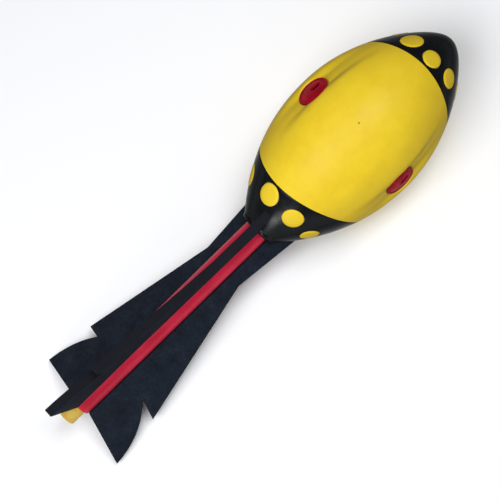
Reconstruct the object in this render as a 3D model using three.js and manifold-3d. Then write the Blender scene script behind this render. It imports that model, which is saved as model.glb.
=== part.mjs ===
// A foam throwing toy: an oval ball with three whistles, and a tail of three fins on a sleeved core.
// Millimetres. The toy is modelled along its own axis: x = 0 at the ball's rear rim, the nose at +x,
// the tail at -x. Angles are counted round that axis from straight up, positive towards -y.
// At the end the toy is laid down on the floor, tail low, as it comes to rest by itself.
import * as THREE from 'three';
import { mergeVertices } from 'three/addons/utils/BufferGeometryUtils.js';
import Module from 'manifold-3d';

// Ball
const ballLength = 162.5;
const ballRadius = 44;
const ballWidestShare = 0.5077; // where the ball is widest, as a share of its length
const noseTaperShare = 0.56; // how far the front half is drawn in from a plain oval
const rearPowerShare = 2.2; // how full the rear half is
const rearReachShare = 0.88; // how much of the rear curve is run through before the rim cuts it off
const coatThickness = 1.3;
const seam = 0.3; // clearance between pieces that touch

// Colour band: the mask lines bow towards the nose and the tail on the top and on the underside
const frontLineFromNose = 26;
const frontLineBow = 14;
const rearLine = 29.5;
const rearLineBow = 15;
const rearLineSkew = 5; // the rear mask sat a little askew
const lineSoftShare = 0.12; // how softly the lines turn back on the toy's sides
const patternTurn = 8.6; // degrees, the masks

// Spots
const spotRise = 0.4;
const noseSpotFromNose = 19.6;
const noseSpots = [
  // turns in degrees; the spots sat a little unevenly, and one was larger
  { turn: 9.2, diameter: 12 },
  { turn: 50, diameter: 12 },
  { turn: 96, diameter: 12 },
  { turn: 142, diameter: 12 },
  { turn: 188, diameter: 12 },
  { turn: 234, diameter: 12 },
  { turn: 280, diameter: 12 },
  { turn: 326.5, diameter: 14 },
];
const rearSpotStation = 21.3;
const rearSpots = [
  { turn: 31.2, diameter: 13.4 },
  { turn: 74, diameter: 12 },
  { turn: 118, diameter: 14 },
  { turn: 162, diameter: 14 },
  { turn: 206, diameter: 14 },
  { turn: 250, diameter: 14 },
  { turn: 293, diameter: 14 },
  { turn: 347.2, diameter: 14 },
];

// Whistles
const whistleDegrees = [77, 194, 311]; // turns; the two upper ones sat a little closer to the sides
const whistleAhead = -1; // of the ball's widest place
const whistleDiameter = 20;
const whistleDepth = 15; // of cup and cap together
const whistleSunk = 3.2; // cap face below the ball's own curve
const capThickness = 1.8;
const cupWall = 1.3;
const capSlotLength = 6.4;
const capSlotWidth = 3.8;
const capSlotAhead = 2.5; // of the cap's middle

// Flutes that run fore and aft through the wells
const fluteAhead = 4; // its middle, of the ball's widest place
const fluteLength = 88;
const fluteWidth = 22;
const fluteFloorWidth = 11;
const fluteDepth = 3;

// Tail core
const rodDiameter = 12;
const rodRear = 164.5; // behind the rim
const rodInBall = 52;
const rodEndRound = 0.8;
const sleeveDiameter = 15.8;
const sleeveRear = 153;
const sleeveInBall = 12;

// Fins, cut from sheet
const finThickness = 5.5;
const finFront = 13.5; // how far a fin runs into the ball
const finEntryReach = 21.2; // distance of the outer edge from the toy's axis, there
const finWaistRear = 30.1;
const finWaistReach = 16.7;
const finTipRear = 122.8;
const finTipReach = 40.1;
const finNotchRear = 121.5;
const finNotchReach = 29.1;
const finTailRear = 158.3;
const finTailReach = 45.3;
const finRootRear = 152.7;
const finTailRound = 1.2;
const finLobeBulge = 2.6; // how far the lobe's outer edge bows out from a straight line
const fins = [
  // turn in degrees from straight up; lag is how far the tail tip leans back, as this one was cut
  { name: 'fin_top', turn: -0.8, lag: 0 },
  { name: 'fin_right', turn: 116.5, lag: 7.3 },
  { name: 'fin_left', turn: -125.5, lag: -3.4 },
];

// Faceting
const plainColumns = 9; // of the ball's grid, between two flutes
const noseRows = 6;
const bandRows = 8;
const rearRows = 5;
const aroundSpot = 14;
const aroundRod = 20;
const aroundWhistle = 20;
const roundSteps = 3;
const lobeSteps = 7;
const cutOverrun = 10;
const mergeShare = 0.001; // corners closer than this share of a seam are one

const wasm = await Module();
wasm.setup();

const finish = (hex, roughness) => new THREE.MeshStandardMaterial({ color: hex, roughness, metalness: 0 });
const foamInside = finish('#d9c48a', 0.9);
const blackCoat = finish('#16181d', 0.5);
const yellowCoat = finish('#e9c92c', 0.5);
const redPlastic = finish('#a81a2b', 0.4);
const redSleeve = finish('#bb2036', 0.45);
const strawFoam = finish('#e0bd4c', 0.85);
const blackFoam = finish('#1e222b', 0.9);

const radians = THREE.MathUtils.degToRad;

// Direction away from the toy's axis at a turn
const outward = (turn) => new THREE.Vector3(0, -Math.sin(turn), Math.cos(turn));

// Solids for joining and cutting

function solidOf(geometry) {
  const bare = geometry.clone();
  bare.deleteAttribute('normal');
  bare.deleteAttribute('uv');
  const merged = mergeVertices(bare, seam * mergeShare);
  return new wasm.Manifold(new wasm.Mesh({
    numProp: 3,
    vertProperties: new Float32Array(merged.attributes.position.array),
    triVerts: new Uint32Array(merged.index.array),
  }));
}

function geometryOf(solid) {
  const mesh = solid.getMesh();
  const geometry = new THREE.BufferGeometry();
  geometry.setAttribute('position', new THREE.BufferAttribute(new Float32Array(mesh.vertProperties), 3));
  geometry.setIndex(new THREE.BufferAttribute(new Uint32Array(mesh.triVerts), 1));
  geometry.computeVertexNormals();
  return geometry;
}

const cut = (solid, tools) => tools.reduce((left, tool) => left.subtract(tool), solid);

const toy = new THREE.Group();

function add(name, geometry, material) {
  const mesh = new THREE.Mesh(geometry, material);
  mesh.name = name;
  toy.add(mesh);
  return mesh;
}

// The ball's surface

const widest = ballLength * ballWidestShare;

function radiusAt(station) {
  if (station >= widest) {
    const along = Math.min((station - widest) / (ballLength - widest), 1) ** 2;
    return ballRadius * Math.sqrt((1 - along) * (1 - noseTaperShare * along));
  }
  const along = (widest - station) / widest;
  return ballRadius * (1 - (along * rearReachShare) ** rearPowerShare);
}

const whistleTurns = whistleDegrees.map(radians);

// A flute has a floor with a smooth bank on each side, and fades out fore and aft
function flutedRadius(station, turn) {
  const fore = Math.min(Math.abs(station - widest - fluteAhead) / (fluteLength / 2), 1);
  const deep = fluteDepth * (0.5 + 0.5 * Math.cos(Math.PI * fore));
  let radius = radiusAt(station);
  for (const middle of whistleTurns) {
    const off = Math.abs(Math.atan2(Math.sin(turn - middle), Math.cos(turn - middle))) * ballRadius;
    radius -= deep * (1 - THREE.MathUtils.smoothstep(off, fluteFloorWidth / 2, fluteWidth / 2));
  }
  return radius;
}

// Turns of the ball's grid: on each flute's floor, banks and edges, and evenly between two flutes
const bankMiddle = (fluteFloorWidth + fluteWidth) / 4;
const fluteLines = [fluteFloorWidth / 2, bankMiddle, fluteWidth / 2].map((off) => off / ballRadius);
const fluteEdge = fluteLines.at(-1);
const gridTurns = whistleTurns.flatMap((middle, flute) => {
  const next = whistleTurns[flute + 1] ?? whistleTurns[0] + 2 * Math.PI;
  const plainAngle = next - middle - 2 * fluteEdge;
  const across = [...fluteLines.map((angle) => -angle).reverse(), 0, ...fluteLines];
  for (let k = 1; k < plainColumns; k += 1) {
    across.push(fluteEdge + (k / plainColumns) * plainAngle);
  }
  return across.map((angle) => middle + angle);
});
const aroundBall = gridTurns.length;

const bow = (turn) => 1 - Math.hypot(Math.cos(turn - radians(patternTurn)), lineSoftShare);
const skew = (turn) => Math.sin(turn - radians(patternTurn));
const frontLineAt = (turn) => ballLength - frontLineFromNose - frontLineBow * bow(turn);
const rearLineAt = (turn) => rearLine + rearLineBow * bow(turn) + rearLineSkew * skew(turn);

// The ball has three zones, one for each coat: nose, band and rear. Each row of its grid is
// a line round it, given as a place along the axis for each turn; rows crowd towards the nose's tip.
const zoneEnds = [() => ballLength, frontLineAt, rearLineAt, () => 0];
const zoneRows = [noseRows, bandRows, rearRows];
const zoneCount = zoneRows.length;

function rowsBetween(first, last) {
  const rows = [];
  for (let zone = first; zone < last; zone += 1) {
    for (let k = zone === first ? 0 : 1; k <= zoneRows[zone]; k += 1) {
      const even = k / zoneRows[zone];
      const share = zone === 0 ? even ** 2 : even;
      rows.push((turn) => THREE.MathUtils.lerp(zoneEnds[zone](turn), zoneEnds[zone + 1](turn), share));
    }
  }
  return rows;
}

// A closed solid of some zones of the ball, its whole surface sunk by a depth (raised where negative),
// with its front and back lines trimmed in by half a seam where they meet another coat
function ballSolid(first, last, sunk) {
  const shrink = 1 - sunk / ballRadius;
  const placeOf = (station) => widest + (station - widest) * shrink;
  const ring = (stationOf, trim) => {
    return gridTurns.map((turn) => {
      const station = stationOf(turn) + trim;
      const radius = flutedRadius(station, turn) * shrink;
      return outward(turn).multiplyScalar(radius).setX(placeOf(station));
    });
  };
  const rows = rowsBetween(first, last);
  const rings = rows.map((row, k) => {
    if (k === 0) return ring(row, -seam / 2);
    if (k === rows.length - 1 && last < zoneCount) return ring(row, seam / 2);
    return ring(row, 0);
  });
  if (first === 0) rings.shift(); // the nose's first row is its tip
  const middle = (points) => points.reduce((sum, point) => sum + point.x, 0) / points.length;
  const front = new THREE.Vector3(first === 0 ? placeOf(ballLength) : middle(rings[0]), 0, 0);
  const back = new THREE.Vector3(middle(rings[rings.length - 1]), 0, 0);
  const positions = [front, ...rings.flat(), back].flatMap((point) => point.toArray());
  const index = [];
  const at = (row, k) => 1 + row * aroundBall + (k % aroundBall);
  for (let k = 0; k < aroundBall; k += 1) {
    index.push(0, at(0, k), at(0, k + 1));
    index.push(1 + rings.length * aroundBall, at(rings.length - 1, k + 1), at(rings.length - 1, k));
    for (let row = 0; row + 1 < rings.length; row += 1) {
      index.push(at(row, k), at(row + 1, k), at(row + 1, k + 1));
      index.push(at(row, k), at(row + 1, k + 1), at(row, k + 1));
    }
  }
  const geometry = new THREE.BufferGeometry();
  geometry.setAttribute('position', new THREE.Float32BufferAttribute(positions, 3));
  geometry.setIndex(index);
  return solidOf(geometry);
}

// Cutting tools

function barAlongX(diameter, from, to, sides) {
  const bar = new THREE.CylinderGeometry(diameter / 2, diameter / 2, to - from, sides);
  bar.rotateZ(-Math.PI / 2);
  bar.translate((from + to) / 2, 0, 0);
  return bar;
}

// A geometry built standing on z = 0, set on a point of the ball with its z along a direction
function standOn(geometry, point, direction) {
  const turned = new THREE.Quaternion().setFromUnitVectors(new THREE.Vector3(0, 0, 1), direction);
  return geometry.clone().applyQuaternion(turned).translate(point.x, point.y, point.z);
}

const boreTool = solidOf(barAlongX(sleeveDiameter + 2 * seam, -cutOverrun, sleeveInBall + seam, aroundRod));
const rodBoreTool = solidOf(barAlongX(rodDiameter + 2 * seam, 0, rodInBall + seam, aroundRod));

const slotTools = fins.map(({ turn }) => {
  const reach = ballRadius;
  const slot = new THREE.BoxGeometry(finFront + seam + cutOverrun, finThickness + 2 * seam, reach);
  slot.translate((finFront + seam - cutOverrun) / 2, 0, reach / 2);
  slot.rotateX(radians(turn));
  return solidOf(slot);
});

function whistleFrame(turn) {
  const reach = ballRadius - whistleSunk - whistleDepth;
  return { direction: outward(turn), foot: outward(turn).multiplyScalar(reach).setX(widest + whistleAhead) };
}

const wellTools = whistleTurns.map((turn) => {
  const { direction, foot } = whistleFrame(turn);
  const wellDepth = whistleDepth + seam + cutOverrun;
  const wellRadius = whistleDiameter / 2 + seam;
  const well = new THREE.CylinderGeometry(wellRadius, wellRadius, wellDepth, aroundWhistle);
  well.rotateX(Math.PI / 2);
  well.translate(0, 0, wellDepth / 2 - seam);
  return solidOf(standOn(well, foot, direction));
});

// Spots, each a disc of a layer that starts at the coat's underside and stands a little proud

function spotFrame(station, turn) {
  const step = seam;
  const slope = (radiusAt(station + step) - radiusAt(station - step)) / (2 * step);
  const direction = outward(turn).setX(-slope).normalize();
  const point = outward(turn).multiplyScalar(radiusAt(station)).setX(station);
  return { direction, point };
}

function spotBar(station, turn, diameter) {
  const { direction, point } = spotFrame(station, turn);
  const bar = new THREE.CylinderGeometry(diameter / 2, diameter / 2, 2 * cutOverrun, aroundSpot);
  bar.rotateX(Math.PI / 2);
  return solidOf(standOn(bar, point, direction));
}

const spotRings = [
  { prefix: 'nose_spot', station: ballLength - noseSpotFromNose, spots: noseSpots },
  { prefix: 'rear_spot', station: rearSpotStation, spots: rearSpots },
];

const spotsOf = ({ prefix, station, spots }) => spots.map(({ turn, diameter }, k) => {
  return { name: `${prefix}_${k + 1}`, station, diameter, turn: radians(turn) };
});

// Foam ball and its three coats

const foam = ballSolid(0, zoneCount, coatThickness + seam);
const foamTools = [boreTool, rodBoreTool, ...slotTools, ...wellTools];
add('foam_ball', geometryOf(cut(foam, foamTools)), foamInside);

const underCoat = ballSolid(0, zoneCount, coatThickness);
const [noseWells, rearWells] = spotRings.map((ring) =>
  spotsOf(ring).map(({ station, turn, diameter }) => spotBar(station, turn, diameter + 2 * seam)));
const coats = [
  { name: 'nose_coat', tools: noseWells, material: blackCoat },
  { name: 'band_coat', tools: wellTools, material: yellowCoat },
  { name: 'rear_coat', tools: [boreTool, ...slotTools, ...rearWells], material: blackCoat },
];
coats.forEach(({ name, tools, material }, zone) => {
  add(name, geometryOf(cut(ballSolid(zone, zone + 1, 0), [underCoat, ...tools])), material);
});

const spotLayer = ballSolid(0, zoneCount, -spotRise).subtract(underCoat);
for (const { name, station, turn, diameter } of spotRings.flatMap(spotsOf)) {
  add(name, geometryOf(spotBar(station, turn, diameter).intersect(spotLayer)), yellowCoat);
}

// Whistles: a cup with its mouth outwards, and a cap with a slot resting on its rim

whistleTurns.forEach((turn, k) => {
  const { direction, foot } = whistleFrame(turn);
  const radius = whistleDiameter / 2;
  const rim = whistleDepth - capThickness - seam;
  const cup = new THREE.LatheGeometry([
    new THREE.Vector2(0, 0),
    new THREE.Vector2(radius, 0),
    new THREE.Vector2(radius, rim),
    new THREE.Vector2(radius - cupWall, rim),
    new THREE.Vector2(radius - cupWall, cupWall),
    new THREE.Vector2(0, cupWall),
  ], aroundWhistle);
  cup.rotateX(Math.PI / 2);
  add(`whistle_cup_${k + 1}`, geometryOf(solidOf(standOn(cup, foot, direction))), redPlastic);

  const disc = new THREE.Shape().absarc(0, 0, radius, 0, 2 * Math.PI);
  const slot = new THREE.Path();
  const straight = (capSlotLength - capSlotWidth) / 2;
  slot.absarc(capSlotAhead + straight, 0, capSlotWidth / 2, -Math.PI / 2, Math.PI / 2);
  slot.absarc(capSlotAhead - straight, 0, capSlotWidth / 2, Math.PI / 2, (3 * Math.PI) / 2);
  slot.closePath();
  disc.holes.push(slot);
  const capShape = { depth: capThickness, bevelEnabled: false, curveSegments: aroundWhistle / 2 };
  const cap = new THREE.ExtrudeGeometry(disc, capShape);
  cap.translate(0, 0, whistleDepth - capThickness);
  add(`whistle_cap_${k + 1}`, geometryOf(solidOf(standOn(cap, foot, direction))), redPlastic);
});

// Tail core: a rod through a sleeve

const rodRadius = rodDiameter / 2;
const rodProfile = [new THREE.Vector2(0, -rodRear), new THREE.Vector2(rodRadius - rodEndRound, -rodRear)];
for (let k = 1; k <= roundSteps; k += 1) {
  const lift = (k / roundSteps) * (Math.PI / 2);
  rodProfile.push(new THREE.Vector2(
    rodRadius - rodEndRound * (1 - Math.sin(lift)),
    -rodRear + rodEndRound * (1 - Math.cos(lift)),
  ));
}
rodProfile.push(new THREE.Vector2(rodRadius, rodInBall), new THREE.Vector2(0, rodInBall));
const rod = new THREE.LatheGeometry(rodProfile, aroundRod);
rod.rotateZ(-Math.PI / 2);
add('core_rod', geometryOf(solidOf(rod)), strawFoam);

const sleeve = solidOf(barAlongX(sleeveDiameter, -sleeveRear, sleeveInBall, aroundRod));
const sleeveEnds = [-sleeveRear - cutOverrun, sleeveInBall + cutOverrun];
const sleeveBore = solidOf(barAlongX(rodDiameter + 2 * seam, ...sleeveEnds, aroundRod));
add('core_sleeve', geometryOf(sleeve.subtract(sleeveBore)), redSleeve);

// Fins: an outline in the plane of the toy's axis, x along it and y away from it

const finRootReach = sleeveDiameter / 2 + seam;

function finOutline(lag) {
  // a point leans back in proportion to its distance from the root
  const place = (rear, reach) => {
    const lean = lag * ((reach - finRootReach) / (finTailReach - finRootReach));
    return new THREE.Vector2(-rear - lean, reach);
  };
  const front = place(-finFront, finEntryReach);
  const tail = place(finTailRear, finTailReach);
  const notch = place(finNotchRear, finNotchReach);
  const root = place(finRootRear, finRootReach);
  const outline = new THREE.Shape();
  outline.moveTo(finFront, finRootReach);
  outline.lineTo(finFront, front.y);
  outline.lineTo(...place(finWaistRear, finWaistReach).toArray());
  outline.lineTo(...place(finTipRear, finTipReach).toArray());
  outline.lineTo(...notch.toArray());
  const lobe = new THREE.Vector2().subVectors(tail, notch);
  const side = new THREE.Vector2(lobe.y, -lobe.x).normalize();
  const trailing = new THREE.Vector2().subVectors(root, tail).normalize();
  const beforeTip = tail.clone().addScaledVector(lobe.clone().normalize(), -finTailRound);
  const afterTip = tail.clone().addScaledVector(trailing, finTailRound);
  const bulgePoint = notch.clone().add(beforeTip).multiplyScalar(0.5).addScaledVector(side, 2 * finLobeBulge);
  outline.quadraticCurveTo(bulgePoint.x, bulgePoint.y, beforeTip.x, beforeTip.y);
  outline.quadraticCurveTo(tail.x, tail.y, afterTip.x, afterTip.y);
  outline.lineTo(...root.toArray());
  outline.closePath();
  return outline;
}

for (const { name, turn, lag } of fins) {
  const sheet = { depth: finThickness, bevelEnabled: false, curveSegments: lobeSteps };
  const fin = new THREE.ExtrudeGeometry(finOutline(lag), sheet);
  fin.translate(0, 0, -finThickness / 2);
  fin.rotateX(Math.PI / 2); // the outline's y now points along +z
  fin.rotateX(radians(turn));
  add(name, geometryOf(solidOf(fin)), blackFoam);
}

// Lay the toy on the floor: the ball and the tips of the two lower fins touch it

function lowestPoint(names, tilt, roll) {
  const turned = new THREE.Matrix4().makeRotationY(tilt).multiply(new THREE.Matrix4().makeRotationX(roll));
  let low = Infinity;
  for (const mesh of toy.children.filter((child) => names.includes(child.name))) {
    const places = mesh.geometry.attributes.position;
    for (let k = 0; k < places.count; k += 1) {
      low = Math.min(low, new THREE.Vector3().fromBufferAttribute(places, k).applyMatrix4(turned).z);
    }
  }
  return low;
}

// Halve an interval again and again, towards the place where a difference is zero
const halvings = 30;
function balance(difference, low, high) {
  let [from, to] = [low, high];
  const rising = difference(to) > difference(from);
  for (let k = 0; k < halvings; k += 1) {
    const middle = (from + to) / 2;
    if (difference(middle) > 0 === rising) to = middle;
    else from = middle;
  }
  return (from + to) / 2;
}

const tiltLimits = [-radians(20), radians(5)];
const rollLimits = [-radians(12), radians(12)];
const tiltFor = (roll) => balance((tilt) => {
  const ballLow = lowestPoint(coats.map((coat) => coat.name), tilt, roll);
  return ballLow - lowestPoint(['fin_right', 'fin_left'], tilt, roll);
}, ...tiltLimits);
const roll = balance((angle) => {
  const tilt = tiltFor(angle);
  return lowestPoint(['fin_right'], tilt, angle) - lowestPoint(['fin_left'], tilt, angle);
}, ...rollLimits);
const tilt = tiltFor(roll);

toy.rotation.set(roll, tilt, 0, 'YXZ');
const object = new THREE.Group();
object.add(toy);
object.updateMatrixWorld(true);
const box = new THREE.Box3().setFromObject(object, true);
toy.position.set(-(box.min.x + box.max.x) / 2, -(box.min.y + box.max.y) / 2, -box.min.z);

export default object;
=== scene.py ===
import math

import bpy
from mathutils import Matrix, Vector


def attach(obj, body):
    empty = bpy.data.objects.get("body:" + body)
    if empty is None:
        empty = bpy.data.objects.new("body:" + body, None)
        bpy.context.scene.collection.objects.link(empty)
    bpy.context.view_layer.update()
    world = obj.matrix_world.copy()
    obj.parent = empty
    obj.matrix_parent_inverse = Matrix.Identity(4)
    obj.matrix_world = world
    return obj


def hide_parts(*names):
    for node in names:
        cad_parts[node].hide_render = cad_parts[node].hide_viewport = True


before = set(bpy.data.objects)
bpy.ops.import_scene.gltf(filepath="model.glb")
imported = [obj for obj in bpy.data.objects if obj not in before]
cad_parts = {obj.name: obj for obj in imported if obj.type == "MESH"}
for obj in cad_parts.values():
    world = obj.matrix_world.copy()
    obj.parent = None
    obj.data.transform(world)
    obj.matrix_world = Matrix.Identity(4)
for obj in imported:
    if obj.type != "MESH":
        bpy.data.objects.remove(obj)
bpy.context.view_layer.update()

# A foam throwing toy: an oval ball with whistles in its flutes, and a tail of cut foam fins.
# Sizes are in millimetres in the dictionaries, along the toy's own axis: x is 0 at the ball's
# rear rim and grows towards the nose. Turns are degrees round that axis, counted from straight
# up, positive towards -Y. Each piece is modelled there and then settled into the row frame.
mm = 0.001


# Small helpers

hair = 1e-6  # metres, far less than any size here
facing = 0.9  # a face looks along an axis when its normal reaches this far that way
ahead = Vector((1, 0, 0))
ontoAxis = Matrix.Rotation(math.pi / 2, 4, "Y")  # lays a piece made upright along the toy's axis


def onlySelect(piece):
    bpy.ops.object.select_all(action="DESELECT")
    piece.select_set(True)
    bpy.context.view_layer.objects.active = piece


def objectMode():
    bpy.ops.object.mode_set(mode="OBJECT")


def editMode():
    bpy.ops.object.mode_set(mode="EDIT")


def clearSelection(piece):
    objectMode()
    for part in (piece.data.vertices, piece.data.edges, piece.data.polygons):
        part.foreach_set("select", [False] * len(part))


def selectFaces(piece, chosen):
    # edit mode, with nothing but the chosen faces selected
    clearSelection(piece)
    for face in piece.data.polygons:
        face.select = chosen(face)
    bpy.context.tool_settings.mesh_select_mode = (False, False, True)
    editMode()


def selectEdges(piece, chosen):
    # edit mode, with nothing selected but the edges that run between two chosen points
    clearSelection(piece)
    points = piece.data.vertices
    for edge in piece.data.edges:
        edge.select = all(chosen(points[end].co) for end in edge.vertices)
    bpy.context.tool_settings.mesh_select_mode = (False, True, False)
    editMode()


def selectAll(piece, kind):
    # edit mode with everything selected; kind is EDGE or FACE
    onlySelect(piece)
    editMode()
    bpy.ops.mesh.select_mode(type=kind)
    bpy.ops.mesh.select_all(action="SELECT")


def turnOutwards():
    # from edit mode: every face is made to look out
    bpy.ops.mesh.select_all(action="SELECT")
    bpy.ops.mesh.normals_make_consistent(inside=False)
    objectMode()


def applyModifier(piece, kind, **settings):
    modifier = piece.modifiers.new(kind.title(), kind)
    for name, value in settings.items():
        setattr(modifier, name, value)
    onlySelect(piece)
    bpy.ops.object.modifier_apply(modifier=modifier.name)


def roundEdges(piece, edge):
    # rounds the edges that bend by more than edge["over"] degrees
    applyModifier(piece, "BEVEL", width=edge["round"] * mm, segments=edge["steps"], limit_method="ANGLE",
                  angle_limit=math.radians(edge["over"]))


def smooth(piece, angle):
    onlySelect(piece)
    bpy.ops.object.shade_smooth_by_angle(angle=math.radians(angle))


def cutAway(piece, tools):
    # takes each tool out of the piece, then drops the tool
    for tool in tools:
        applyModifier(piece, "BOOLEAN", operation="DIFFERENCE", object=tool, solver="MANIFOLD")
        bpy.data.objects.remove(tool)


# How the fins stand, which the axis and the slots in the ball read too. Lag is how far the outer
# corner at the tail lies behind, and twist how far the soft sheet is turned at the ball and at
# the tail. A lobe is cut from its notch, bulges, and has a rounded tail corner.

evenLobe = {"notch": (-121.5, 29.1), "bulge": 2.6, "tailRound": 1.2}
fullLobe = {"notch": (-120.5, 26.4), "bulge": 3.8, "tailRound": 2.2}
fins = {
    "top": {"turn": -0.8, "lag": 0, "twist": (4, -1.5), "lobe": evenLobe},
    "right": {"turn": 116.5, "lag": 7.3, "twist": (0, 0), "lobe": fullLobe},
    "left": {"turn": -125.5, "lag": -3.4, "twist": (0, 0), "lobe": evenLobe},
}

# The toy's axis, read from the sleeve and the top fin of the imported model

sleeve = {
    "front": 12, "rear": -153, "outer": 15.8, "wall": 1.4, "around": 96, "steps": 40,
    "edge": {"round": 0.2, "steps": 2, "over": 50},
}


def corners(node):
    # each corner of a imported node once, to a micrometre
    return {tuple(round(value, 6) for value in point.co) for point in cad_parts[node].data.vertices}


def middleOf(points):
    return sum((Vector(point) for point in points), Vector()) / len(points)


sleeveCorners = corners("core_sleeve")
halfway = middleOf(sleeveCorners).x
frontRing = middleOf([point for point in sleeveCorners if point[0] > halfway])
rearRing = middleOf([point for point in sleeveCorners if point[0] < halfway])
axisX = (frontRing - rearRing).normalized()
axisZ = middleOf(corners("fin_top")) - rearRing
axisZ = (axisZ - axisX * axisX.dot(axisZ)).normalized()
axisY = axisZ.cross(axisX)
rim = frontRing - axisX * sleeve["front"] * mm
toyToRow = Matrix.Translation(rim) @ Matrix((axisX, axisY, axisZ)).transposed().to_4x4()
toyToRow = toyToRow @ Matrix.Rotation(-math.radians(fins["top"]["turn"]), 4, "X")


def settle(piece, material, slot, *nodes):
    # from the toy's own axis into the row frame, onto the root body, in place of its CAD nodes
    onlySelect(piece)
    bpy.ops.object.transform_apply(location=True, rotation=True, scale=True)
    piece.data.transform(toyToRow)
    piece.data.materials.clear()
    piece.data.materials.append(material)
    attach(piece, "root")
    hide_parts(*nodes)


def outward(turn):
    # the direction away from the toy's axis at a turn in degrees
    return Vector((0, -math.sin(math.radians(turn)), math.cos(math.radians(turn))))


def toyPoint(station, turn, out):
    # a point in metres, given how far along the axis, at which turn and how far out it lies
    return (Vector((station, 0, 0)) + outward(turn) * out) * mm


# Camera, floor and light

shot = {
    "from": (-10, -162.1, 745.2), "at": (-9.9, -6.6, 40.1), "lens": 86.4, "sensor": 36,
    "upTurn": 47.3,  # the floor direction that is up in the picture, in degrees from x
}


def setCamera():
    place, at = Vector(shot["from"]) * mm, Vector(shot["at"]) * mm
    back = (place - at).normalized()
    turn = math.radians(shot["upTurn"])
    right = Vector((math.cos(turn), math.sin(turn), 0)).cross(back).normalized()
    up = back.cross(right)
    data = bpy.data.cameras.new("photoCamera")
    data.lens = shot["lens"]
    data.sensor_width = shot["sensor"]
    camera = bpy.data.objects.new("photoCamera", data)
    camera.matrix_world = Matrix.Translation(place) @ Matrix((right, up, back)).transposed().to_4x4()
    bpy.context.scene.collection.objects.link(camera)
    bpy.context.scene.camera = camera


# Softboxes, all white: place and size in millimetres, power in watts
lamps = {
    "noseSideLight": {"from": (400, -100, 1080), "size": 440, "power": 5.3},
    "tailSideLight": {"from": (-450, -100, 1000), "size": 660, "power": 7.8},
    "lowLight": {"from": (-1200, -330, 190), "size": 320, "power": 4.2},
}
backdrop = {"size": 9000, "floor": "#f4f5f8", "roughness": 0.9, "sky": "#ffffff", "skyPower": 0.2}


def linear(hexColour):
    # sRGB hex to linear
    values = [int(hexColour[k:k + 2], 16) / 255 for k in (1, 3, 5)]
    return [v / 12.92 if v <= 0.04045 else ((v + 0.055) / 1.055) ** 2.4 for v in values] + [1]


def addNode(tree, kind, settings=None, **inputs):
    # inputs are values or other nodes' sockets, named as the socket is, in camelCase or by number as n0, n1
    node = tree.nodes.new(kind)
    for name, value in (settings or {}).items():
        setattr(node, name, value)
    for name, value in inputs.items():
        if name[0] == "n" and name[1:].isdigit():
            socket = node.inputs[int(name[1:])]
        else:
            wanted = name.lower()
            socket = next(s for s in node.inputs if s.enabled and s.name.replace(" ", "").lower() == wanted)
        if isinstance(value, bpy.types.NodeSocket):
            tree.links.new(value, socket)
        else:
            socket.default_value = value
    return node


def newMaterial(name):
    material = bpy.data.materials.new(name)
    material.use_nodes = True
    tree = material.node_tree
    shader = tree.nodes["Principled BSDF"]
    place = addNode(tree, "ShaderNodeTexCoord").outputs["Object"]
    return material, tree, shader, place


def perSize(size):
    # noise scale that gives features of about this many millimetres
    return 1 / (size * mm)


def rampBetween(tree, factor, low, high, stops):
    # stops are (place, colour) pairs spread over the factor's range from low to high
    node = addNode(tree, "ShaderNodeMapRange", {"clamp": True}, value=factor, fromMin=low, fromMax=high)
    ramp = addNode(tree, "ShaderNodeValToRGB", fac=node.outputs["Result"])
    while len(ramp.color_ramp.elements) < len(stops):
        ramp.color_ramp.elements.new(0.5)
    for element, (at, colour) in zip(ramp.color_ramp.elements, stops):
        element.position = at
        element.color = linear(colour)
    return ramp.outputs["Color"]


def makeStage():
    bpy.ops.object.select_all(action="DESELECT")
    bpy.ops.mesh.primitive_plane_add(size=backdrop["size"] * mm)
    floor = bpy.context.active_object
    floor.name = "paleFloor"
    # matte paint on a flat board: pale, even and without a gleam
    material, _, shader, _ = newMaterial("matteFloorPaint")
    shader.inputs["Base Color"].default_value = linear(backdrop["floor"])
    shader.inputs["Roughness"].default_value = backdrop["roughness"]
    floor.data.materials.append(material)
    world = bpy.data.worlds.new("paleRoom")
    world.use_nodes = True
    sky = world.node_tree.nodes["Background"]
    sky.inputs["Color"].default_value = linear(backdrop["sky"])
    sky.inputs["Strength"].default_value = backdrop["skyPower"]
    bpy.context.scene.world = world
    for name, lamp in lamps.items():
        data = bpy.data.lights.new(name, "AREA")
        data.size = lamp["size"] * mm
        data.energy = lamp["power"]
        light = bpy.data.objects.new(name, data)
        place = Vector(lamp["from"]) * mm
        # each lamp looks at the middle of the floor
        light.matrix_world = Matrix.Translation(place) @ place.to_track_quat("Z", "Y").to_matrix().to_4x4()
        bpy.context.scene.collection.objects.link(light)
    bpy.context.scene.view_settings.view_transform = "Standard"


setCamera()
makeStage()
print("camera, floor and light are set")


# Materials: the colours and the finish of each, then the patterns of each kind, whose sizes and
# depths are in millimetres

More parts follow.
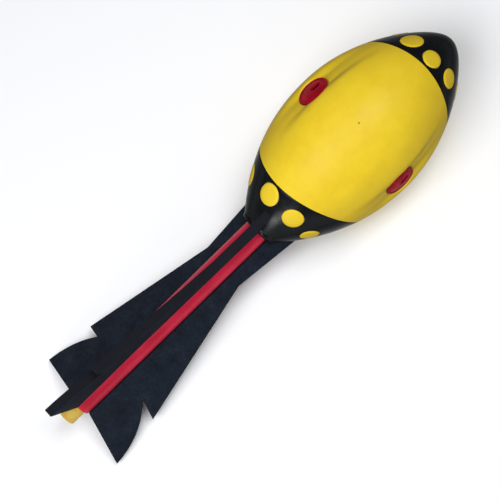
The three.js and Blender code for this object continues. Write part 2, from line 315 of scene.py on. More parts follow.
looks = {
    "yellowFoamSkin": {
        # pale, main and dark vary at random; the slant tone is painted shade where the skin turns from the
        # eye
        "pale": "#e4c62b", "main": "#debf26", "dark": "#d6b522", "slanted": "#b29726",
        "roughness": 0.44, "shine": 0.24,
        # a pinhole that was left in the paint, drawn as a darker dot: painted shade of a pit that the skin's
        # shape doesn't have
        "pinhole": {"station": 86.2, "turn": 5.2, "out": 44, "radius": 0.3, "halo": 0.9, "tone": "#8c761e"},
    },
    "blackFoamSkin": {
        # pale, main and dark vary at random; the slant tone is painted shade where the skin turns from the
        # eye
        "pale": "#0e1216", "main": "#0a0d11", "dark": "#06080b", "slanted": "#050708",
        "roughness": 0.24, "shine": 0.25,
    },
    "redMouldedPlastic": {"pale": "#9c0a20", "main": "#840618", "roughness": 0.46, "shine": 0.04},
    "darkRedCupPlastic": {"pale": "#8c0a1e", "main": "#780818", "roughness": 0.5, "shine": 0.05},
    "redSleevePlastic": {"pale": "#c11a3e", "main": "#b51233", "dark": "#a50d2a", "shine": 0.3},
    "blackFoamSheet": {
        "pale": "#212834", "main": "#181e28", "dark": "#0f141c", "cut": "#191a1f",
        "cell": 0.7, "cellDeep": 0.08, "roughness": 0.92, "shine": 0.12,
    },
    "strawRodFoam": {
        "pale": "#d0b45a", "main": "#c2a248", "dark": "#a98b37",
        "cell": 0.9, "cellDeep": 0.24, "roughness": 0.85, "shine": 0.3,
    },
    "strawBallFoam": {
        "pale": "#dcc88c", "main": "#ccb577", "dark": "#b39a5c",
        "cell": 1.1, "cellDeep": 0.25, "roughness": 0.9, "shine": 0.3,
    },
}
skin = {"cloud": 26, "blotch": 7, "peel": 1.6, "peelDeep": 0.03, "dimple": 9, "dimpleDeep": 0.12, "ior": 1.46}
plastic = {"cloud": 5, "grain": 0.5, "grainDeep": 0.02, "ior": 1.49}
tube = {"line": 1.4, "lineDeep": 0.05, "stretch": 0.08, "dent": 18, "dentDeep": 0.25, "ior": 1.5}
foam = {"mottle": 11, "mottleDeep": 0.2, "speck": 1.8, "ior": 1.4}


def threeTones(look):
    return [(0, look["dark"]), (0.5, look["main"]), (1, look["pale"])]


def paintedSkin(name):
    # Moulded foam skin under sprayed paint: smooth to the eye, with a faint orange peel, a few
    # shallow dimples from the foam below, and a soft broad shine that the grain breaks at a
    # slant; towards a slant the colour also goes darker, as painted shade where the skin turns away
    look = looks[name]
    material, tree, shader, place = newMaterial(name)
    cloud = addNode(tree, "ShaderNodeTexNoise", vector=place, scale=perSize(skin["cloud"]),
                    detail=3, roughness=0.55)
    blotch = addNode(tree, "ShaderNodeTexNoise", vector=place, scale=perSize(skin["blotch"]),
                     detail=4, roughness=0.6)
    both = addNode(tree, "ShaderNodeMix", {"data_type": "FLOAT"}, factor=0.35,
                   n2=cloud.outputs["Fac"], n3=blotch.outputs["Fac"])
    colour = rampBetween(tree, both.outputs[0], 0.3, 0.7, threeTones(look))
    # painted shade: the colour darkens towards the slant tone where the skin turns away from the eye
    slant = addNode(tree, "ShaderNodeLayerWeight", blend=0.5).outputs["Facing"]
    slantShadeShare = addNode(tree, "ShaderNodeMapRange", {"clamp": True}, value=slant, fromMin=0.12, fromMax=0.85)
    shadedColour = addNode(tree, "ShaderNodeMix", {"data_type": "RGBA"}, n0=slantShadeShare.outputs["Result"],
                    n6=colour, n7=linear(look["slanted"]))
    # the pinhole's pit is painted as shade: a darker tone in its middle, fading out over the halo
    if "pinhole" in look:
        hole = look["pinhole"]
        middle = toyToRow @ toyPoint(hole["station"], hole["turn"], hole["out"])
        away = addNode(tree, "ShaderNodeVectorMath", {"operation": "DISTANCE"}, n0=place, n1=middle)
        inHole = addNode(tree, "ShaderNodeMapRange", {"interpolation_type": "SMOOTHSTEP"},
                         value=away.outputs["Value"], fromMin=hole["radius"] * mm, fromMax=hole["halo"] * mm,
                         toMin=1, toMax=0)
        shadedColour = addNode(tree, "ShaderNodeMix", {"data_type": "RGBA"}, n0=inHole.outputs["Result"],
                        n6=shadedColour.outputs[2], n7=linear(hole["tone"]))
    tree.links.new(shadedColour.outputs[2], shader.inputs["Base Color"])
    # facing the eye the skin has its full shine, and at a slant less than a tenth of it
    gleam = addNode(tree, "ShaderNodeMapRange", {"clamp": True}, value=slant, fromMin=0.05, fromMax=0.5,
                    toMin=look["shine"], toMax=look["shine"] * 0.08)
    tree.links.new(gleam.outputs["Result"], shader.inputs["Specular IOR Level"])
    peel = addNode(tree, "ShaderNodeTexNoise", vector=place, scale=perSize(skin["peel"]),
                   detail=2, roughness=0.5)
    dimple = addNode(tree, "ShaderNodeTexNoise", vector=place, scale=perSize(skin["dimple"]),
                     detail=2, roughness=0.5)
    gloss = addNode(tree, "ShaderNodeMapRange", value=blotch.outputs["Fac"], fromMin=0.3, fromMax=0.7,
                    toMin=look["roughness"] - 0.06, toMax=look["roughness"] + 0.08)
    tree.links.new(gloss.outputs["Result"], shader.inputs["Roughness"])
    fine = addNode(tree, "ShaderNodeBump", strength=0.35, distance=skin["peelDeep"] * mm,
                   height=peel.outputs["Fac"])
    broad = addNode(tree, "ShaderNodeBump", strength=0.5, distance=skin["dimpleDeep"] * mm,
                    height=dimple.outputs["Fac"], normal=fine.outputs["Normal"])
    tree.links.new(broad.outputs["Normal"], shader.inputs["Normal"])
    shader.inputs["IOR"].default_value = skin["ior"]
    return material


def mouldedPlastic(name):
    # Injection moulded polypropylene: even colour with faint flow clouds, and a fine matte grain
    # that is drawn coarser than the real one, so that it shows
    look = looks[name]
    material, tree, shader, place = newMaterial(name)
    cloud = addNode(tree, "ShaderNodeTexNoise", vector=place, scale=perSize(plastic["cloud"]),
                    detail=2, roughness=0.5)
    colour = rampBetween(tree, cloud.outputs["Fac"], 0.35, 0.65, [(0, look["main"]), (1, look["pale"])])
    tree.links.new(colour, shader.inputs["Base Color"])
    grain = addNode(tree, "ShaderNodeTexNoise", vector=place, scale=perSize(plastic["grain"]),
                    detail=2, roughness=0.6)
    gloss = addNode(tree, "ShaderNodeMapRange", value=grain.outputs["Fac"], fromMin=0.3, fromMax=0.7,
                    toMin=look["roughness"] - 0.05, toMax=look["roughness"] + 0.07)
    tree.links.new(gloss.outputs["Result"], shader.inputs["Roughness"])
    bump = addNode(tree, "ShaderNodeBump", strength=0.25, distance=plastic["grainDeep"] * mm,
                   height=grain.outputs["Fac"])
    tree.links.new(bump.outputs["Normal"], shader.inputs["Normal"])
    shader.inputs["IOR"].default_value = plastic["ior"]
    shader.inputs["Specular IOR Level"].default_value = look["shine"]
    return material


def extrudedSleeve(name):
    # Thin plastic tube shrunk onto foam: satin, with soft dents and faint lengthwise draw lines
    # that are drawn coarser than the real ones, so that they show
    look = looks[name]
    material, tree, shader, place = newMaterial(name)
    drawn = addNode(tree, "ShaderNodeMapping", vector=place, scale=(tube["stretch"], 1, 1))
    lines = addNode(tree, "ShaderNodeTexNoise", vector=drawn.outputs["Vector"], scale=perSize(tube["line"]),
                    detail=3, roughness=0.6)
    dents = addNode(tree, "ShaderNodeTexNoise", vector=place, scale=perSize(tube["dent"]),
                    detail=2, roughness=0.5)
    both = addNode(tree, "ShaderNodeMix", {"data_type": "FLOAT"}, factor=0.4,
                   n2=dents.outputs["Fac"], n3=lines.outputs["Fac"])
    colour = rampBetween(tree, both.outputs[0], 0.3, 0.7, threeTones(look))
    tree.links.new(colour, shader.inputs["Base Color"])
    gloss = addNode(tree, "ShaderNodeMapRange", value=lines.outputs["Fac"], fromMin=0.3, fromMax=0.7,
                    toMin=0.34, toMax=0.5)
    tree.links.new(gloss.outputs["Result"], shader.inputs["Roughness"])
    fine = addNode(tree, "ShaderNodeBump", strength=0.3, distance=tube["lineDeep"] * mm,
                   height=lines.outputs["Fac"])
    broad = addNode(tree, "ShaderNodeBump", strength=0.4, distance=tube["dentDeep"] * mm,
                    height=dents.outputs["Fac"], normal=fine.outputs["Normal"])
    tree.links.new(broad.outputs["Normal"], shader.inputs["Normal"])
    shader.inputs["IOR"].default_value = tube["ior"]
    shader.inputs["Specular IOR Level"].default_value = look["shine"]
    return material


def openFoam(name):
    # Cut foam: dead matte, with the open cells as fine pits and a mottled tone over them;
    # where the knife went through a sheet, the edge has a tone of its own
    look = looks[name]
    material, tree, shader, place = newMaterial(name)
    cells = addNode(tree, "ShaderNodeTexVoronoi", {"feature": "F1"}, vector=place,
                    scale=perSize(look["cell"]), randomness=1)
    mottle = addNode(tree, "ShaderNodeTexNoise", vector=place, scale=perSize(foam["mottle"]),
                     detail=5, roughness=0.65)
    speck = addNode(tree, "ShaderNodeTexNoise", vector=place, scale=perSize(foam["speck"]),
                    detail=3, roughness=0.6)
    both = addNode(tree, "ShaderNodeMix", {"data_type": "FLOAT"}, factor=0.4,
                   n2=mottle.outputs["Fac"], n3=speck.outputs["Fac"])
    colour = rampBetween(tree, both.outputs[0], 0.32, 0.68, threeTones(look))
    if "cut" in look:
        cutEdge = addNode(tree, "ShaderNodeAttribute", {"attribute_name": "cutEdge"})
        colour = addNode(tree, "ShaderNodeMix", {"data_type": "RGBA"}, n0=cutEdge.outputs["Fac"],
                         n6=colour, n7=linear(look["cut"])).outputs[2]
    tree.links.new(colour, shader.inputs["Base Color"])
    shader.inputs["Roughness"].default_value = look["roughness"]
    pits = addNode(tree, "ShaderNodeBump", strength=0.6, distance=look["cellDeep"] * mm,
                   height=cells.outputs["Distance"])
    waves = addNode(tree, "ShaderNodeBump", strength=0.4, distance=foam["mottleDeep"] * mm,
                    height=mottle.outputs["Fac"], normal=pits.outputs["Normal"])
    tree.links.new(waves.outputs["Normal"], shader.inputs["Normal"])
    shader.inputs["IOR"].default_value = foam["ior"]
    shader.inputs["Specular IOR Level"].default_value = look["shine"]
    return material


yellowSkin = paintedSkin("yellowFoamSkin")
blackSkin = paintedSkin("blackFoamSkin")
whistlePlastic = mouldedPlastic("redMouldedPlastic")
cupPlastic = mouldedPlastic("darkRedCupPlastic")
sleevePlastic = extrudedSleeve("redSleevePlastic")
blackSheet = openFoam("blackFoamSheet")
strawFoam = openFoam("strawRodFoam")
ballFoam = openFoam("strawBallFoam")
print("materials are ready")


# The ball's surface, as a radius at each station and turn

ball = {
    # the profile: noseTaper narrows the front half, and a power curve draws the rear half in
    "length": 162.5, "radius": 44, "widest": 82.5, "noseTaper": 0.56, "rearPower": 2.2, "rearReach": 0.88,
    "rimRound": 2.6, "boreRadius": 8.1,
    # the coats, and the seam between two of them
    "wall": 1.3, "seam": 0.3, "edge": {"round": 0.14, "steps": 2, "over": 50},
    # the colour lines: stations at the pattern's turn, and how far they bow and lean at the sides
    "frontLine": 136.5, "frontBow": 14, "rearLine": 29.5, "rearBow": 15, "rearSkew": 5,
    "lineSoft": 0.12, "patternTurn": 8.6,
    # the grid: its columns, and the rows of each zone
    "around": 192, "noseRows": 26, "bandRows": 78, "rearRows": 22, "rimRows": 7,
}
flute = {"turns": (77, 194, 311), "middle": 86.5, "length": 92, "width": 25, "floor": 9, "depth": 3.3}
finSlot = {
    "turns": [place["turn"] + place["twist"][0] for place in fins.values()],  # as the sheets enter the ball
    "width": 5.3, "front": 12, "valley": 9, "valleyDeep": 1.1,
}


def smoothstep(share):
    share = min(max(share, 0), 1)
    return share * share * (3 - 2 * share)


def turnBetween(turn, middle):
    return (turn - middle + 180) % 360 - 180


def columnTurn(column):
    # the grid's columns start on the first flute's middle
    return flute["turns"][0] + 360 * column / ball["around"]


def columnsBetween(column, middle):
    half = ball["around"] / 2
    return (column - middle + half) % ball["around"] - half


def plainRadius(station):
    if station > ball["widest"]:
        along = min((station - ball["widest"]) / (ball["length"] - ball["widest"]), 1)
        return ball["radius"] * math.sqrt((1 - along ** 2) * (1 - ball["noseTaper"] * along ** 2))
    along = (ball["widest"] - station) / ball["widest"]
    return ball["radius"] * (1 - (along * ball["rearReach"]) ** ball["rearPower"])


def ballRadius(station, turn):
    radius = plainRadius(station)
    fore = min(abs(station - flute["middle"]) / (flute["length"] / 2), 1)
    if fore < 1:
        deep = flute["depth"] * (0.5 + 0.5 * math.cos(math.pi * fore))
        for middle in flute["turns"]:
            off = math.radians(abs(turnBetween(turn, middle))) * ball["radius"]
            bank = (off - flute["floor"] / 2) / (flute["width"] / 2 - flute["floor"] / 2)
            radius -= deep * (1 - smoothstep(bank))
    if station < finSlot["front"]:
        # the skin rolls in softly towards the fins, most at the rim
        for middle in finSlot["turns"]:
            off = math.radians(abs(turnBetween(turn, middle))) * radius - finSlot["width"] / 2
            near = 1 - min(max(off, 0) / finSlot["valley"], 1)
            radius -= finSlot["valleyDeep"] * near ** 2 * (1 - smoothstep(station / finSlot["front"]))
    return radius


def bow(turn):
    return 1 - math.hypot(math.cos(math.radians(turn - ball["patternTurn"])), ball["lineSoft"])


def frontLineAt(turn):
    return ball["frontLine"] - ball["frontBow"] * bow(turn)


def rearLineAt(turn):
    skew = math.sin(math.radians(turn - ball["patternTurn"]))
    return ball["rearLine"] + ball["rearBow"] * bow(turn) + ball["rearSkew"] * skew


def zoneRow(zone, row, turn):
    # (station, radius) of a row of one zone of the ball's grid, both in millimetres
    trim = ball["seam"] / 2
    if zone == "nose":
        share = (row / ball["noseRows"]) ** 2
        station = ball["length"] + (frontLineAt(turn) + trim - ball["length"]) * share
    elif zone == "band":
        front, back = frontLineAt(turn) - trim, rearLineAt(turn) + trim
        station = front + (back - front) * row / ball["bandRows"]
    else:
        edge = ball["rimRound"]
        if row > ball["rearRows"]:
            # over the rounded rim and in to the bore
            lip = ballRadius(edge, turn)
            step = (row - ball["rearRows"]) / (ball["rimRows"] - 1)
            if step > 1:
                return 0, ball["boreRadius"]
            angle = step * math.pi / 2
            return edge * (1 - math.sin(angle)), lip - edge * (1 - math.cos(angle))
        front = rearLineAt(turn) - trim
        station = front + (edge - front) * row / ball["rearRows"]
    return station, ballRadius(station, turn)


def shapedSphere(name, zone, rows):
    # a UV sphere whose rings are slid along and drawn in until it has the zone's shape;
    # each point's ring and column are kept as attributes
    first = 0 if zone == "nose" else 1  # the nose keeps its pole, the other zones are open
    last = first + rows
    rings, around = last + 1, ball["around"]
    bpy.ops.object.select_all(action="DESELECT")
    bpy.ops.mesh.primitive_uv_sphere_add(segments=around, ring_count=rings, radius=1)
    piece = bpy.context.active_object
    piece.name = name
    for kept in ("ring", "column"):
        piece.data.attributes.new(kept, "INT", "POINT")
    ringOf, columnOf = piece.data.attributes["ring"].data, piece.data.attributes["column"].data
    for point in piece.data.vertices:
        ring = round(math.acos(max(-1, min(1, point.co.z))) / math.pi * rings)
        column = round(math.degrees(math.atan2(-point.co.y, point.co.x)) / 360 * around) % around
        ringOf[point.index].value = ring
        columnOf[point.index].value = column
        turn = columnTurn(column)
        station, radius = zoneRow(zone, min(max(ring - first, 0), rows), turn)
        if ring in (0, rings):
            radius = 0  # a pole; those of the fans that close an open end are taken off below
        point.co = toyPoint(station, turn, radius)
    selectFaces(piece, lambda face: any(not first <= ringOf[v].value <= last for v in face.vertices))
    bpy.ops.mesh.delete(type="FACE")
    turnOutwards()
    return piece


def giveWall(piece):
    applyModifier(piece, "SOLIDIFY", thickness=ball["wall"] * mm, offset=-1, use_rim=True,
                  use_even_offset=False)


# Spots: where they sit on the ball

spots = {
    "around": 48, "rings": 5, "ringStep": 0.16,  # ringStep is a share of the spot's radius
    "rise": 0.35, "edge": 0.5, "deep": 1.2, "gap": 0.2, "holeAround": 64, "holeDeep": 12,
    "station": {"nose": 142.9, "rear": 21.3},
    # each spot's turn and diameter
    "nose": ((9.2, 12), (50, 12), (96, 12), (142, 12), (188, 12), (234, 12), (277, 12), (326.5, 14)),
    "rear": ((31.2, 13.4), (74, 12), (118, 14), (162, 14), (206, 14), (250, 14), (290, 14), (347.2, 14)),
}


def spotFrame(ring, turn):
    # middle, direction out of the skin, and directions along and across it, in the toy's frame
    station = spots["station"][ring]
    slope = plainRadius(station + 0.5) - plainRadius(station - 0.5)  # over one millimetre
    away = outward(turn)
    out = (away - ahead * slope).normalized()
    across = away.cross(ahead).normalized()
    along = across.cross(out).normalized()
    return ahead * station + away * plainRadius(station), out, along, across


def spotHoles(ring):
    # a cutter for each spot's hole in the coat
    tools = []
    for turn, diameter in spots[ring]:
        middle, out, along, across = spotFrame(ring, turn)
        bpy.ops.object.select_all(action="DESELECT")
        bpy.ops.mesh.primitive_cylinder_add(vertices=spots["holeAround"], depth=spots["holeDeep"] * mm,
                                            radius=(diameter / 2 + spots["gap"]) * mm)
        tool = bpy.context.active_object
        basis = Matrix((along, across, out)).transposed().to_4x4()
        tool.data.transform(Matrix.Translation(middle * mm) @ basis)
        tools.append(tool)
    return tools


def finSlotCutters():
    # a bar for each fin, from the axis out through the skin's rear end
    tools = []
    for turn in finSlot["turns"]:
        bpy.ops.object.select_all(action="DESELECT")
        bpy.ops.mesh.primitive_cube_add(size=1)
        tool = bpy.context.active_object
        long, reach = 2 * finSlot["front"], ball["radius"]
        tool.data.transform(Matrix.Diagonal((long * mm, finSlot["width"] * mm, reach * mm, 1)))
        tool.data.transform(Matrix.Translation((0, 0, reach / 2 * mm)))
        tool.data.transform(Matrix.Rotation(math.radians(turn), 4, "X"))
        tools.append(tool)
    return tools


def makeNose():
    piece = shapedSphere("noseCoat", "nose", ball["noseRows"])
    giveWall(piece)
    roundEdges(piece, ball["edge"])
    cutAway(piece, spotHoles("nose"))
    smooth(piece, angle=35)
    settle(piece, blackSkin, "black_coat", "nose_coat")


def makeRear():
    piece = shapedSphere("rearCoat", "rear", ball["rearRows"] + ball["rimRows"])
    giveWall(piece)
    roundEdges(piece, ball["edge"])
    cutAway(piece, spotHoles("rear"))
    cutAway(piece, finSlotCutters())
    smooth(piece, angle=35)
    settle(piece, blackSkin, "black_coat", "rear_coat")


# Wells of the whistles: the grid is opened like a purse, from a square of cells to a round hole

well = {
    "station": 81.5, "radius": 10.2, "lip": 0.7, "lipSteps": (0, 0.22, 0.6, 1.0), "lipSlack": 0.07,
    # how deep the caps' seat lies under the ball's greatest radius, and how far the wall goes on
    "sunk": 3.2, "wallBelow": 0.9, "wallSteps": 2,
    # the opening's half width and the width of the blend round it, in cells, and a cell's size
    "block": 6, "blend": 9, "cell": 1.6,
    "turnTries": 4,  # how often the turn of a place beside the well is worked out again
}


def wellGrid():
    # for each well, the column and the band row at its middle
    places = []
    for turn in flute["turns"]:
        column = round(turnBetween(turn, flute["turns"][0]) / 360 * ball["around"]) % ball["around"]
        front, back = frontLineAt(turn), rearLineAt(turn)
        row = round((front - well["station"]) / (front - back) * ball["bandRows"])
        places.append((turn, column, row))
    return places


def openedPlace(station, turn, row, column, wells):
    # moves a grid place near a well onto the rings round the well, fading out to the plain grid;
    # the third value is the place's step on the rounded lip, or None off the lip
    steps = well["lipSteps"]
    for middle, wellColumn, wellRow in wells:
        across, along = columnsBetween(column, wellColumn), wellRow - row
        ring = max(abs(across), abs(along))
        if ring >= well["block"] + well["blend"]:
            continue
        if ring < well["block"]:
            return station, turn, None  # in the opening, whose faces are taken out
        # the square's edge runs evenly round the circle
        if abs(along) >= abs(across):
            angle = 45 * across / along
            angle = angle if along > 0 else angle + 180
        else:
            angle = 90 - 45 * along / across
            angle = angle if across > 0 else angle + 180
        outer = int(ring - well["block"])
        beyond = outer - len(steps) + 1
        if beyond <= 0:
            radius, lipStep = well["radius"] + well["lip"] * steps[outer], steps[outer]
        else:
            radius, lipStep = well["radius"] + well["lip"] + beyond * well["cell"], None
        onStation = well["station"] + radius * math.cos(math.radians(angle))
        aside = radius * math.sin(math.radians(angle))
        onTurn = middle
        for _ in range(well["turnTries"]):
            # the turn at which the skin stands this far to the side of the well's middle
            onTurn = middle + math.degrees(math.asin(aside / ballRadius(onStation, onTurn)))
        share = smoothstep(beyond / (well["blend"] - len(steps) + 1))
        plainTurn = middle + turnBetween(turn, middle)
        return onStation + (station - onStation) * share, onTurn + (plainTurn - onTurn) * share, lipStep
    return station, turn, None


def makeBand():
    piece = shapedSphere("bandCoat", "band", ball["bandRows"])
    wells = wellGrid()
    ringOf, columnOf = piece.data.attributes["ring"].data, piece.data.attributes["column"].data
    for point in piece.data.vertices:
        row, column = ringOf[point.index].value - 1, columnOf[point.index].value
        turn = columnTurn(column)
        station, _ = zoneRow("band", row, turn)
        station, turn, lipStep = openedPlace(station, turn, row, column, wells)
        radius = ballRadius(station, turn)
        if lipStep is not None:
            # quarter round over the well's lip
            radius -= well["lip"] * (1 - math.sqrt(1 - (1 - lipStep) ** 2))
        point.co = toyPoint(station, turn, radius)

    def inOpening(corner, wellColumn, wellRow):
        across = columnsBetween(columnOf[corner].value, wellColumn)
        return max(abs(across), abs(ringOf[corner].value - 1 - wellRow)) <= well["block"]

    selectFaces(piece, lambda face: any(all(inOpening(corner, column, row) for corner in face.vertices)
                                        for _, column, row in wells))
    bpy.ops.mesh.delete(type="FACE")
    objectMode()
    for turn in flute["turns"]:
        sinkWell(piece, turn)
    giveWall(piece)
    smooth(piece, angle=50)
    settle(piece, yellowSkin, "yellow_coat", "band_coat")


def sinkWell(piece, turn):
    # the opening's edge is drawn straight down as the well's wall
    away = outward(turn)
    centre = ahead * well["station"]

    def onLip(point):
        offset = point / mm - centre
        level = offset.dot(away)
        return level > 0 and (offset - away * level).length < well["radius"] + well["lipSlack"]

    selectEdges(piece, onLip)
    floor = (ball["radius"] - well["sunk"] - well["wallBelow"]) * mm
    for step in range(well["wallSteps"]):
        bpy.ops.mesh.extrude_region_move(TRANSFORM_OT_translate={"value": (0, 0, 0)})
        objectMode()
        for point in piece.data.vertices:
            if point.select:
                level = (point.co - centre * mm).dot(away)
                share = 1 / (well["wallSteps"] - step)
                point.co += away * (floor - level) * share
        editMode()
    objectMode()


def makeSpot(ring, number, turn, diameter):
    # a disc laid on the skin, with a rounded edge, as thick as the skin and a little proud of it
    middle, _, along, across = spotFrame(ring, turn)
    radius = diameter / 2
    bpy.ops.object.select_all(action="DESELECT")
    bpy.ops.mesh.primitive_circle_add(vertices=spots["around"], radius=1, fill_type="NGON")
    piece = bpy.context.active_object
    piece.name = f"{ring}Spot{number}"
    selectAll(piece, "FACE")
    for _ in range(spots["rings"]):
        bpy.ops.mesh.inset(thickness=spots["ringStep"], depth=0)
    bpy.ops.mesh.poke()
    objectMode()
    for point in piece.data.vertices:
        flat = middle + (along * point.co.x + across * point.co.y) * radius
        flatTurn = math.degrees(math.atan2(-flat.y, flat.z))
        edge = max(0, 1 - (1 - point.co.length) * radius / spots["edge"])
        height = spots["rise"] - spots["edge"] * (1 - math.sqrt(max(1 - edge ** 2, 0)))
        point.co = toyPoint(flat.x, flatTurn, plainRadius(flat.x) + height)
    applyModifier(piece, "SOLIDIFY", thickness=spots["deep"] * mm, offset=-1, use_rim=True)
    selectAll(piece, "FACE")
    turnOutwards()
    smooth(piece, angle=40)
    settle(piece, yellowSkin, "yellow_coat", f"{ring}_spot_{number}")


makeNose()
makeBand()
makeRear()
for ring in ("nose", "rear"):
    for number, (turn, diameter) in enumerate(spots[ring], 1):
        makeSpot(ring, number, turn, diameter)
print("the ball's coats and spots are made")


# Whistle caps: a disc with a flat rim, a groove inside it, a domed face and a slot

cap = {
    "radius": 10, "thick": 1.1, "around": 64, "edge": {"round": 0.16, "steps": 3, "over": 40},
    "raised": 0.7,  # how far the rim's face stands over the seat
    # inset and rise of each step from the rim to the middle, above and then below
    "steps": (
        (0.8, 0), (0.25, -0.4), (0.6, 0), (0.3, 0.4),
        (1.1, 0.45), (1.4, 0.35), (1.6, 0.2), (1.6, 0.08),
    ),
    "hollow": ((2, 0), (0.6, 0.3), (1.4, 0.2), (1.6, 0.1)),
}
capSlot = {"length": 6.8, "width": 4.2, "ahead": 2.5, "around": 32}


def capSlotCutter():
    # a round bar that is pulled apart along the slot, and longer than the cap is thick
    bpy.ops.object.select_all(action="DESELECT")
    bpy.ops.mesh.primitive_cylinder_add(vertices=capSlot["around"], radius=capSlot["width"] / 2 * mm,
                                        depth=4 * cap["thick"] * mm)
    tool = bpy.context.active_object
    straight = (capSlot["length"] - capSlot["width"]) / 2
    for point in tool.data.vertices:
        pulled = straight if point.co.x > hair else -straight
        point.co.x += (capSlot["ahead"] + pulled) * mm
    return tool


def makeCap(number, turn):
    bpy.ops.object.select_all(action="DESELECT")
    bpy.ops.mesh.primitive_cylinder_add(vertices=cap["around"], radius=cap["radius"] * mm,
                                        depth=cap["thick"] * mm)
    piece = bpy.context.active_object
    piece.name = f"whistleCap{number}"
    selectFaces(piece, lambda face: face.normal.z > facing)
    for inset, rise in cap["steps"]:
        bpy.ops.mesh.inset(thickness=inset * mm, depth=rise * mm)
    # hollowed from below, so that the dome is a shell
    selectFaces(piece, lambda face: face.normal.z < -facing)
    for inset, rise in cap["hollow"]:
        bpy.ops.mesh.inset(thickness=inset * mm, depth=-rise * mm)
    objectMode()
    cutAway(piece, [capSlotCutter()])
    roundEdges(piece, cap["edge"])
    smooth(piece, angle=40)
    away = outward(turn)
    basis = Matrix((ahead, away.cross(ahead), away)).transposed().to_4x4()
    level = ball["radius"] - well["sunk"] - cap["thick"] / 2 + cap["raised"]
    piece.data.transform(Matrix.Translation(toyPoint(well["station"], turn, level)) @ basis)
    settle(piece, whistlePlastic, "red_plastic", f"whistle_cap_{number}")


for number, turn in enumerate(flute["turns"], 1):
    makeCap(number, turn)
print("whistle caps are made")


# Sleeve and rod

rod = {"diameter": 12, "rear": -164.5, "front": 52, "endRound": 0.9, "endSteps": 4, "around": 96}


def makeSleeve():
    bpy.ops.object.select_all(action="DESELECT")
    bpy.ops.mesh.primitive_circle_add(vertices=sleeve["around"], radius=sleeve["outer"] / 2 * mm)
    piece = bpy.context.active_object
    piece.name = "coreSleeve"
    piece.data.transform(Matrix.Translation((sleeve["rear"] * mm, 0, 0)) @ ontoAxis)
    step = (sleeve["front"] - sleeve["rear"]) / sleeve["steps"] * mm
    selectAll(piece, "EDGE")
    for _ in range(sleeve["steps"]):
        bpy.ops.mesh.extrude_region_move(TRANSFORM_OT_translate={"value": (step, 0, 0)})
    turnOutwards()
    applyModifier(piece, "SOLIDIFY", thickness=sleeve["wall"] * mm, offset=-1, use_rim=True)
    roundEdges(piece, sleeve["edge"])
    smooth(piece, angle=40)
    settle(piece, sleevePlastic, "red_sleeve", "core_sleeve")


def makeRod():
    bpy.ops.object.select_all(action="DESELECT")
    bpy.ops.mesh.primitive_cylinder_add(vertices=rod["around"], radius=rod["diameter"] / 2 * mm,
                                        depth=(rod["front"] - rod["rear"]) * mm)
    piece = bpy.context.active_object
    piece.name = "coreRod"
    middle = (rod["front"] + rod["rear"]) / 2
    piece.data.transform(Matrix.Translation((middle * mm, 0, 0)) @ ontoAxis)
    selectFaces(piece, lambda face: face.normal.x < -facing)
    bpy.ops.mesh.bevel(offset=rod["endRound"] * mm, segments=rod["endSteps"], affect="EDGES")
    objectMode()
    smooth(piece, angle=40)
    settle(piece, strawFoam, "straw_foam", "core_rod")


makeSleeve()
makeRod()
print("sleeve and rod are made")


# Fins: an outline in the plane of the toy's axis, extruded to the sheet's thickness

fin = {
    "thick": 5.5, "root": 8.2, "front": 13.5, "entryReach": 21.2, "rootRear": -152.7,
    "waist": (-30.1, 16.7), "tip": (-122.8, 40.1), "tail": (-158.3, 45.3),  # station and reach
    "lobeSteps": 14, "tailSteps": 4, "edge": {"round": 0.45, "steps": 3, "over": 60},
    "cuts": (10, -160, -10), "twistLong": 95,  # cuts across the sheet: the first, the end and the step
    "cutNormal": 0.8, "cutShare": 0.8,  # faces turned from the sheet's sides take most of the knife's tone
}


def curveBetween(start, pull, end, steps):
    # points of a quadratic curve, after its start
    points = []
    for k in range(1, steps + 1):
        t = k / steps
        points.append(start * (1 - t) ** 2 + pull * 2 * t * (1 - t) + end * t ** 2)
    return points


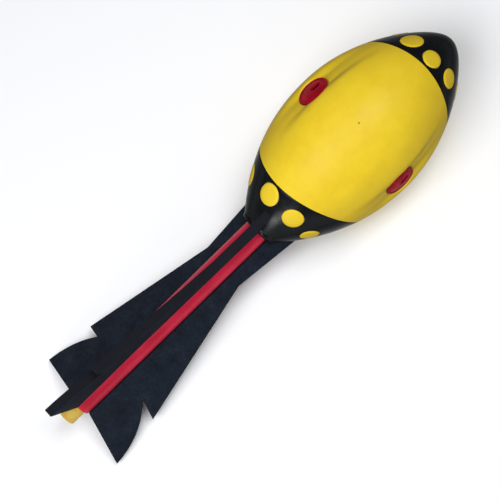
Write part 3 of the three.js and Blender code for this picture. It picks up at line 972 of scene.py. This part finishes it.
def finOutline(lag, lobe):
    reachOver = fin["tail"][1] - fin["root"]

    def leaned(x, reach):
        return Vector((x - lag * (reach - fin["root"]) / reachOver, reach))

    notch, tail = leaned(*lobe["notch"]), leaned(*fin["tail"])
    rootEnd = leaned(fin["rootRear"], fin["root"])
    rising, trailing = (tail - notch).normalized(), (rootEnd - tail).normalized()
    side = Vector((rising.y, -rising.x))
    before, after = tail - rising * lobe["tailRound"], tail + trailing * lobe["tailRound"]
    # the curve goes half as far out as the point that pulls it
    pull = (notch + before) / 2 + side * 2 * lobe["bulge"]
    points = [Vector((fin["front"], fin["root"])), Vector((fin["front"], fin["entryReach"]))]
    points += [leaned(*fin["waist"]), leaned(*fin["tip"]), notch]
    points += curveBetween(notch, pull, before, fin["lobeSteps"])
    points += curveBetween(before, tail, after, fin["tailSteps"])
    return points + [rootEnd]


def makeFin(side, turn, lag, twist, lobe):
    outline = finOutline(lag, lobe)
    bpy.ops.object.select_all(action="DESELECT")
    bpy.ops.mesh.primitive_circle_add(vertices=len(outline), radius=1, fill_type="NGON")
    piece = bpy.context.active_object
    piece.name = f"{side}Fin"
    # the circle's corners are drawn out to the fin's outline
    for point, place in zip(piece.data.vertices, outline):
        point.co = (place.x * mm, 0, place.y * mm)
    selectAll(piece, "FACE")
    bpy.ops.mesh.extrude_region_move(TRANSFORM_OT_translate={"value": (0, fin["thick"] * mm, 0)})
    bpy.ops.mesh.select_all(action="SELECT")
    bpy.ops.transform.translate(value=(0, -fin["thick"] / 2 * mm, 0))
    turnOutwards()
    roundEdges(piece, fin["edge"])
    # cut across at even stations, so that the sheet can take its twist
    selectAll(piece, "FACE")
    for station in range(*fin["cuts"]):
        bpy.ops.mesh.select_all(action="SELECT")
        bpy.ops.mesh.bisect(plane_co=(station * mm, 0, 0), plane_no=(1, 0, 0))
    objectMode()
    smooth(piece, angle=40)
    cutEdge = piece.data.attributes.new("cutEdge", "FLOAT", "FACE")
    for face in piece.data.polygons:
        cutEdge.data[face.index].value = fin["cutShare"] if abs(face.normal.y) < fin["cutNormal"] else 0
    for point in piece.data.vertices:
        share = min(max(-point.co.x / mm / fin["twistLong"], 0), 1)
        atPoint = turn + twist[0] + (twist[1] - twist[0]) * share
        point.co = Matrix.Rotation(math.radians(atPoint), 3, "X") @ point.co
    settle(piece, blackSheet, "black_foam", f"fin_{side}")


for side, stand in fins.items():
    makeFin(side, **stand)
print("fins are made")


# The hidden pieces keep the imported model's shapes and take materials from here

hiddenPieces = {"foam_ball": ballFoam, "whistle_cup_1": cupPlastic, "whistle_cup_2": cupPlastic,
                "whistle_cup_3": cupPlastic}
for node, material in hiddenPieces.items():
    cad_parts[node].data.materials.clear()
    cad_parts[node].data.materials.append(material)
print("hidden pieces have their materials")
